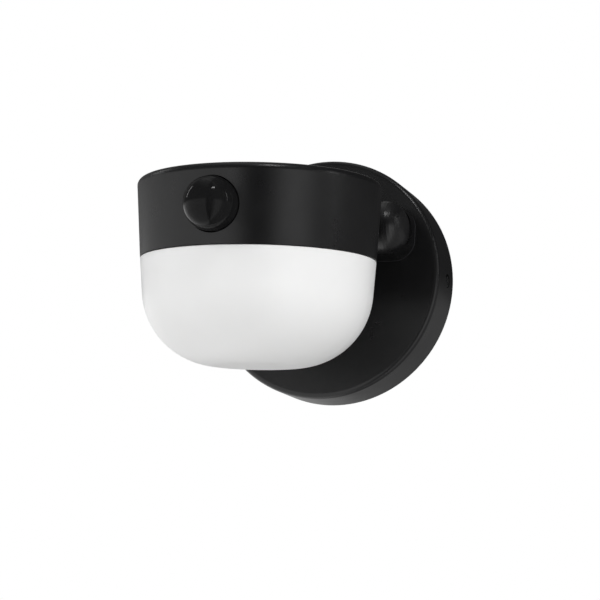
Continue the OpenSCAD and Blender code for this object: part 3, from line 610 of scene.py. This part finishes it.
def make_diffuser():
    """Opal bowl: outer outline, softened lip, collar and inner outline, swept round.

    The collar dips under the camera socket, by the circle of that socket seen along the dome's axis.
    """
    outer, inner = bowl_outline(0.0), bowl_outline(2.2)
    lip = rounded([(outer[1][0], outer[1][1], 0), (outer[0][0], -0.4, 0.35), (collar_out, -0.4, 0.15),
                   (collar_out, 5.0, 0.4), (collar_inside, 5.0, 0.4), (collar_inside, -0.4, 0)], 4)
    profile = np.concatenate([outer[:0:-1], lip[1:], inner[1:]])
    grid = turned(profile, 192)
    x, y, z = grid[..., 0], grid[..., 1], grid[..., 2]
    reach = socket_wide + 1.6 + 0.4
    dip = np.where((abs(x) < reach) & (y < 0), dome_height - np.sqrt(np.maximum(reach ** 2 - x ** 2, 0)),
                   99.0)
    grid = np.stack([x, y, np.where(z > 0, np.minimum(z, np.maximum(dip, 0.05)), z)], -1)
    lugs = []
    for k in range(4):
        angle = np.radians(36 + 90 * k) + np.linspace(0, math.radians(18), 10)
        half = angle.mean()
        section = rounded([(collar_out - 0.5, 3.1, 0), (collar_out + 1.0, 3.1, 0.25),
                           (collar_out + 1.0, 4.3, 0.25), (collar_out - 0.5, 4.3, 0)], 3)
        taper = np.clip(9 - abs(np.degrees(angle - half)), 0, 1.2)[:, None] / 1.2
        radius = (collar_out - 0.5) + (section[:, 0] - collar_out + 0.5) * taper
        lugs.append(np.stack([radius * np.cos(angle)[:, None], radius * np.sin(angle)[:, None],
                              section[:, 1] + 0 * radius], -1))
    return make("opal_bowl", [(grid, opal)] + [(lug, opal) for lug in lugs], on_head, "head", ["diffuser"])


def make_dome():
    """Smoked cap: half a ball on a short wall with a flange, hollow, swept round its own axis."""
    ball = dome_wide - 0.005
    ball_at = dome_face + dome_proud - dome_wide
    rise = np.linspace(0.0, math.pi / 2, 48)
    outside = np.stack([ball * np.cos(rise), ball_at + ball * np.sin(rise)], -1)
    wide = dome_wide - dome_thick
    sink = rise[::-1]
    inside = np.stack([wide * np.cos(sink), ball_at + wide * np.sin(sink)], -1)
    foot = rounded([(wide, flange_at, 0), (flange_wide, flange_at, 0.2), (flange_wide, seal_at, 0.2),
                    (dome_wide, seal_at, 0.15),
                    (ball, dome_face - 0.1, 0), tuple(outside[0]) + (0,)], 5)
    profile = np.concatenate([inside[-1:], foot, outside[1:], inside])
    return make("smoked_dome", [(turned(profile, 160), smoked)], to_dome, "head", ["dome_cover"],
                60)


def make_camera():
    """Lens barrel with a knurled ring and stepped front, its lens, infrared emitters and light sensor."""
    body = turned(rounded([(0, lens_back, 0), (lens_barrel, lens_back, 0.2),
                           (lens_barrel, lens_front - 0.5, 0.15),
                           (4.1, lens_front, 0.1),
                           (3.4, lens_front, 0.1), (2.6, lens_front - 1.4, 0.1), (2.2, lens_front - 1.4, 0),
                           (2.2, lens_front - 2.5, 0), (0, lens_front - 2.5, 0)], 3), 108)
    turn = np.arctan2(body[..., 1], body[..., 0])
    grip = (body[..., 2] > lens_back + 3) & (body[..., 2] < lens_front - 2.0) & (np.hypot(body[..., 0],
            body[..., 1]) > 4)
    squeeze = np.where(grip, 1 - 0.03 * (np.cos(36 * turn) > 0), 1.0)[..., None]
    body = body * np.concatenate([squeeze, squeeze, np.ones_like(squeeze)], -1)
    make("camera_barrel_piece", [(body, moulded_black)], to_dome, "head", ["camera_barrel"])
    ball, deep = 6.3, lens_front - 6.5
    wide = 2.5
    reach = np.linspace(0, wide, 14)
    crown = np.stack([reach, deep + np.sqrt(ball ** 2 - reach ** 2)], -1)
    lens = turned(np.concatenate([crown, [[wide, lens_front - 1.4], [0, lens_front - 1.4]]]), 72)
    make("coated_lens", [(lens, lens_glass)], to_dome, "head", ["camera_lens"], 50)
    dome_end = lambda radius, length, flange: turned(np.concatenate([
        [[0, 0], [radius + flange, 0], [radius + flange, 0.5], [radius, 0.6], [radius, length]],
        np.stack([radius * np.cos(np.linspace(0.1, math.pi / 2, 9)),
                  length + radius * np.sin(np.linspace(0.1, math.pi / 2, 9))], -1)]), 40)
    place = mask_wide - 2.3
    emitters = [(moved(dome_end(1.35, 3.6, 0), place * side, 0, mask_at - 3), dark_red) for side in (1, -1)]
    make("infrared_emitters", emitters, to_dome, "head", ["infrared_leds"], 50)
    make("light_sensor_piece", [(moved(dome_end(1.05, 2.8, 0), 0, -place, mask_at - 3), pale_epoxy)], to_dome,
         "head", ["light_sensor"], 50)
    snap = ring_of([(dome_wide - dome_thick, retainer_at, 0.3), (socket_wide - 0.05, retainer_at, 0.3),
                    (socket_wide - 0.05, retainer_at + 2.2, 0.3),
                    (dome_wide - dome_thick, retainer_at + 2.2, 0.3)])
    make("snap_ring", [(snap, moulded_black)], to_dome, "head", ["dome_retainer"])
    seal = ring_of([(dome_wide + 0.45, seal_at, 0.3), (flange_wide, seal_at, 0.3), (flange_wide, seat, 0.3),
                    (dome_wide + 0.45, seat, 0.3)])
    make("dome_gasket", [(seal, rubber)], to_dome, "head", ["dome_seal"])


# ---------------------------------------------------------------- head: boards and their parts

def small_parts(places, top, size=(1.7, 0.9, 0.55)):
    """Chip resistors and capacitors: a dark body between two tinned ends."""
    made = []
    for x, y, turn in places:
        made.append((moved(slab(box_outline(size[0] * 0.6, size[1], 0.05), 0, size[2], 0.05), x, y, top,
                           turn), chip_epoxy))
        for side in (1, -1):
            shift = side * size[0] * 0.4
            made.append((moved(slab(box_outline(size[0] * 0.2, size[1], 0.05), 0, size[2] + 0.03, 0.05),
                               x + shift * math.cos(turn), y + shift * math.sin(turn), top, turn), tin))
    return made


def make_light_engine():
    """Emitters on their two rings: a white package with a shallow phosphor lens facing down."""
    floor = 4.6
    surfaces = []
    for reach, count in ((33.0, 16), (21.0, 8)):
        for k in range(count):
            turn = TURN * (k + 0.5) / count
            x, y = reach * math.cos(turn), reach * math.sin(turn)
            surfaces.append((moved(slab(box_outline(2.8, 3.5, 0.25, 2), 0, 0.62, 0.12, 1), x, y, floor, turn,
                                   True), white_board))
            lens = turned([(1.15, 0.55), (1.15, 0.66), (0.8, 0.76), (0.4, 0.79), (0, 0.8)], 18)
            surfaces.append((moved(lens, x, y, floor, turn, True), phosphor))
    make("emitters", surfaces, on_head, "head", ["leds"])
    screws = []
    for angle in (0, 60, 120, 180, 235, 305):
        a = math.radians(angle)
        screws += [(moved(part, boss_circle * math.cos(a), boss_circle * math.sin(a), floor, a, True),
                    zinc) for part in pan_screw(1.45, 9, 2.7, 1.8, 0.6)]
    make("plate_fixings", screws, on_head, "head", ["plate_screws"])


def make_driver():
    """Driver board with its ferrite transformer, capacitors, header and small chips."""
    board = [(moved(slab(box_outline(50, 30, 1.0), 0, 1.6, 0.12), 0, 12, driver_floor), green_board)]
    board += small_parts([(21, 24, 0), (21, 21.5, 0), (21, 19, 0), (20.5, 16.2, math.pi / 2),
                          (-21.6, 6, math.pi / 2), (-21.6, 10, math.pi / 2),
                          (-21.6, 14, math.pi / 2), (9.5, 12.2, 0), (7.5, 9.6, 0.0),
                          (-21.6, 18, math.pi / 2)], driver_top)
    make("driver_board_piece", board, on_head, "head", ["driver_board"])
    core = [(moved(slab(box_outline(15, 18, 0.4), 0, 3, 0.3), -11, 13, driver_top + lift),
             ferrite) for lift in (0, 9.5)]
    core += [(moved(slab(box_outline(14.6, 2.2, 0.3), 0, 6.6, 0.1), -11, 13 + side * 7.8, driver_top + 2.95),
              ferrite) for side in (1, -1)]
    rows = np.linspace(0.05, 6.45, 30)
    bulge = 6.3 - 0.25 * np.abs(np.sin(rows * 3.6)) - 0.2 * (abs(rows - 3.25) > 2.9)
    coil = turned(np.concatenate([[[0, 0.05]], np.stack([bulge, rows], -1), [[0, 6.45]]]), 64)
    make("ferrite_transformer", core + [(moved(coil, -11, 13, driver_top + 3), winding)], on_head, "head",
         ["transformer"])
    cans = []
    for x, y, radius, tall in ((4, 3, 5, 12), (4, 16, 4, 9), (14, 17, 3.2, 8)):
        can = turned(rounded([(0, 0, 0), (radius * 0.9, 0, 0.2), (radius, 0.5, 0.2), (radius, 1.6, 0.3),
                              (radius - 0.35, 2.1, 0.3),
                              (radius, 2.6, 0.3), (radius, tall, 0.7), (radius * 0.72, tall, 0)], 4), 64)
        lid = turned(np.stack([np.linspace(radius * 0.72, 0, 16), np.full(16, tall - 0.02)], -1), 64)
        lx, ly = lid[..., 0], lid[..., 1]
        score = np.exp(-(np.minimum(abs(lx), abs(ly)) / 0.22) ** 2) * (np.hypot(lx, ly) < radius * 0.62)
        lid = np.stack([lx, ly, lid[..., 2] - 0.25 * score], -1)
        cans += [(moved(can, x, y, driver_top), sleeve), (moved(lid, x, y, driver_top), aluminium)]
    make("capacitor_cans", cans, on_head, "head", ["capacitors"])
    header = [(moved(tray(box_outline(10, 8, 0.3), 0, 7, 1.0, 2.0), 16, 4, driver_top), nylon)]
    header += [(moved(slab(box_outline(0.7, 0.7, 0.1, 2), 1.9, 6.2, 0.15), 16 + side * 2, 4, driver_top),
                tin) for side in (1, -1)]
    make("driver_header", header, on_head, "head", ["driver_connector"])


def make_camera_boards():
    """Image board, main board, processor and radio can."""
    back = lens_back - 1.6
    image = [(moved(slab(box_outline(18, 18, 1.0), 0, 1.6, 0.1), 0, 0, back), green_board)]
    make("image_board_piece", image, to_dome, "head", ["image_board"])
    main_at = back - 6
    flat = on_head @ Matrix.Translation([0, -main_at, dome_height]) @ Matrix.Rotation(math.radians(90), 4,
            "X")
    board = [(moved(slab(box_outline(40, 18, 0.8), 0, 1.6, 0.1), 0, 3, 0), green_board)]
    make("main_board_piece", board, flat, "head", ["main_board"])
    chip = [(moved(slab(box_outline(12, 12, 0.3), -1.4, -0.02, 0.15), -8, 4, 0), chip_epoxy),
            (moved(turned([(0.5, -1.43), (0.35, -1.39), (0, -1.39)], 20), -12.6, 8.6, 0), nylon)]
    make("processor_piece", chip, flat, "head", ["processor"])
    can = [(moved(slab(box_outline(14, 9, 0.5), -2.2, -0.02, 0.35), 10, 3.5, 0), tin)]
    make("radio_can", can, flat, "head", ["wifi_module"])


def make_reset():
    """Button with a dished top, and its switch: a small body on a board with a round plunger."""
    out = band_radius(button_height) + 0.4
    base, flange = out - 5.9, out - 7.1
    dish = np.linspace(2.3, 0, 10)
    top = np.stack([dish, out - 0.18 * (1 - (dish / 2.3) ** 2)], -1)
    cap = turned(np.concatenate([rounded([(0, flange, 0), (4.0, flange, 0.2), (4.0, base, 0.2),
                                          (2.8, base, 0.15), (2.8, out, 0.45), (2.3, out, 0)], 5), top[1:]]),
                                          80)
    make("reset_cap", [(cap, moulded_black)], to_button, "reset_button", ["reset_button"])
    at = flange - 0.8 - 0.4
    switch = [(slab(box_outline(10, 12, 0.5), at - 5.2, at - 4.0, 0.1), green_board),
              (slab(box_outline(6, 6, 0.3), at - 4.02, at - 1.0, 0.2), tin),
              (turned(rounded([(0, at - 1.05, 0), (1.2, at - 1.05, 0), (1.2, at, 0.15), (0, at, 0)]), 40),
               moulded_black)]
    make("reset_switch_piece", switch, to_button, "head", ["reset_switch"])


def make_head_fixings():
    """Two screws through the band into the arm, and the lead from the hollow bolt to the driver board."""
    arm_low = arm_height - knuckle_radius
    across = 20.6
    pad = math.sqrt(band_radius(arm_low) ** 2 - across ** 2) - 3.5
    turn = Matrix.Rotation(math.radians(90), 4, "X")
    screws = []
    for side in (1, -1):
        screws += [(moved(part, side * (across - 7.5), 0, 0), zinc) for part in pan_screw(1.95, 11, 3.5, 2.2)]
    make("arm_fixings", screws, on_head @ Matrix.Translation([0, pad, arm_height]) @ turn, "head",
         ["arm_screws"])
    arm_at = band_radius(arm_height) + 16
    wire = lead([(0, arm_at, arm_height), (0, pad - 5, arm_height), (-1, 24.6, driver_top + 1.6)], 1.5)
    make("head_lead", [(wire, sheath)], on_head, "head", ["head_cable"])


# ---------------------------------------------------------------- wall side

def make_wall_fixings():
    """Side screws, post screws, earth screw and terminal screws."""
    reach, hold = 59.0, math.sqrt(54.5 ** 2 - 64)
    sides = []
    for side in (1, -1):
        place = np.array(Matrix.Rotation(math.radians(90 * side), 3, "Y"))
        for part in pan_screw(1.95, reach - 1.6 - hold + 3, 3.1, 1.6):
            sides.append(((part + [0, 0, reach - 1.6]) @ place.T + [0, -9, 0], black_oxide))
    make("canopy_side_screws", sides, whole, "wall_mount", ["side_screws"])
    inwards = Matrix.Rotation(math.radians(-90), 4, "X")
    face = 21.3
    posts = []
    for x in (27.5, -27.5):
        for dz in (8, -8):
            posts += [(moved(part, x, -(20.3 + dz), 0), zinc) for part in pan_screw(1.95, 9.3, 3.5, 2.2)]
    make("post_fixings", posts, Matrix.Translation([0, -face, 0]) @ inwards, "wall_mount", ["post_screws"])
    clamps = []
    for x in (-8.5, 0, 8.5):
        clamps += [(moved(part, x, 26, 0), zinc) for part in pan_screw(1.4, 2.3, 2.2, 1.6, 0.5)]
    make("terminal_clamps", clamps, Matrix.Translation([0, -9.5, 0]) @ inwards, "wall_mount",
         ["terminal_screws"])
    earth = [(moved(part, -88.9 / 5, 0, 2), green_steel) for part in pan_screw(1.95, 2, 4, 2.6)]
    make("earth_screw", earth, out_of_wall, "wall_mount", ["ground_screw"])


def make_hinge_hardware():
    """Domed caps over the bolt ends, the nut, the washers, the grommet and the lead."""
    end, bend, barrel, plug = 46.6, 10.0, 13.0, 8.3
    corner = math.acos((plug - barrel + bend) / bend)
    sit = end - bend * (1 - math.sin(corner)) - 1.4
    curve = np.linspace(corner, math.pi / 2, 16)
    crown = np.stack([barrel - bend + bend * np.cos(curve), end - bend + bend * np.sin(curve)], -1)
    cap = turned(np.concatenate([rounded([(0, sit, 0), (plug, sit, 0.2), (plug, crown[0][1], 0)]), crown[1:],
                                 [[0, end]]]), 96)
    caps = [(cap, moulded_black), (cap * [1, -1, -1], moulded_black)]
    make("domed_caps", caps, along_hinge, "wall_mount", ["pivot_caps"], 30)
    make("clamp_nut", [(moved(nut(7.3, 4.05, 5.0), 0, 0, 32.2), zinc)], along_hinge, "wall_mount",
         ["pivot_nut"])
    washer = ring_of([(4.2, 21.0, 0.2), (11.5, 21.0, 0.25), (11.5, 22.0, 0.25), (4.2, 22.0, 0.2)])
    make("acetal_washers", [(washer, acetal), (washer * [1, -1, -1], acetal)], along_hinge, "wall_mount",
         ["friction_washers"])
    edge = 13.0 * 0.6 - 0.4
    spring = turned([(4.2, 31.0), (edge, 31.0), (edge - 0.06, 31.14), (5.66, 32.17), (5.6, 32.2), (4.2, 32.2),
                     (4.2, 31.0)], 72)
    make("cone_spring", [(spring, zinc)], along_hinge, "wall_mount", ["spring_washer"])
    hole_x = sit - 3.2
    face = 21.3
    grommet = ring_of([(2.1, face - 1.2, 0.3), (4.8, face - 1.2, 0.4), (4.8, face, 0.2), (3.4, face, 0.15),
                       (3.4, face + 3.3, 0.2), (2.1, face + 3.3, 0.3)], 64)
    make("lead_grommet", [(grommet, rubber)], Matrix.Translation([hole_x, 0, hinge_z]) @ out_of_wall,
         "wall_mount", ["wire_grommet"])
    wire = lead([(16, -13.8, -26), (hole_x - 6, -15.3, -14), (hole_x, -15.3, 12.3), (hole_x, -17.3, hinge_z),
                 (hole_x, hinge_y, hinge_z), (3.4, hinge_y, hinge_z)], 2.0, 2.6)
    make("canopy_lead", [(wire, sheath)], whole, "wall_mount", ["canopy_cable"])
    rim = ring_of([(55.0, 0.0, 0.3), (56.9, 0.0, 0.5), (56.9, 2.95, 0.3), (55.0, 2.95, 0.3)], 160)
    make("foam_gasket", [(rim, rubber)], out_of_wall, "wall_mount", ["wall_gasket"])


make_diffuser()
make_dome()
make_camera()
make_light_engine()
make_driver()
make_camera_boards()
make_reset()
make_head_fixings()
make_wall_fixings()
make_hinge_hardware()


# ---------------------------------------------------------------- floor

def lay_floor():
    """Pale square floor well below the light."""
    reach, low = 4.0, -0.9
    flat = bpy.data.meshes.new("floor")
    flat.from_pydata([(-reach, -reach, low), (reach, -reach, low), (reach, reach, low), (-reach, reach, low)],
                     [], [(0, 1, 2, 3)])
    floor = bpy.data.objects.new("floor", flat)
    scene.collection.objects.link(floor)
    flat.materials.append(floor_paint)
    floor.visible_glossy = False


lay_floor()
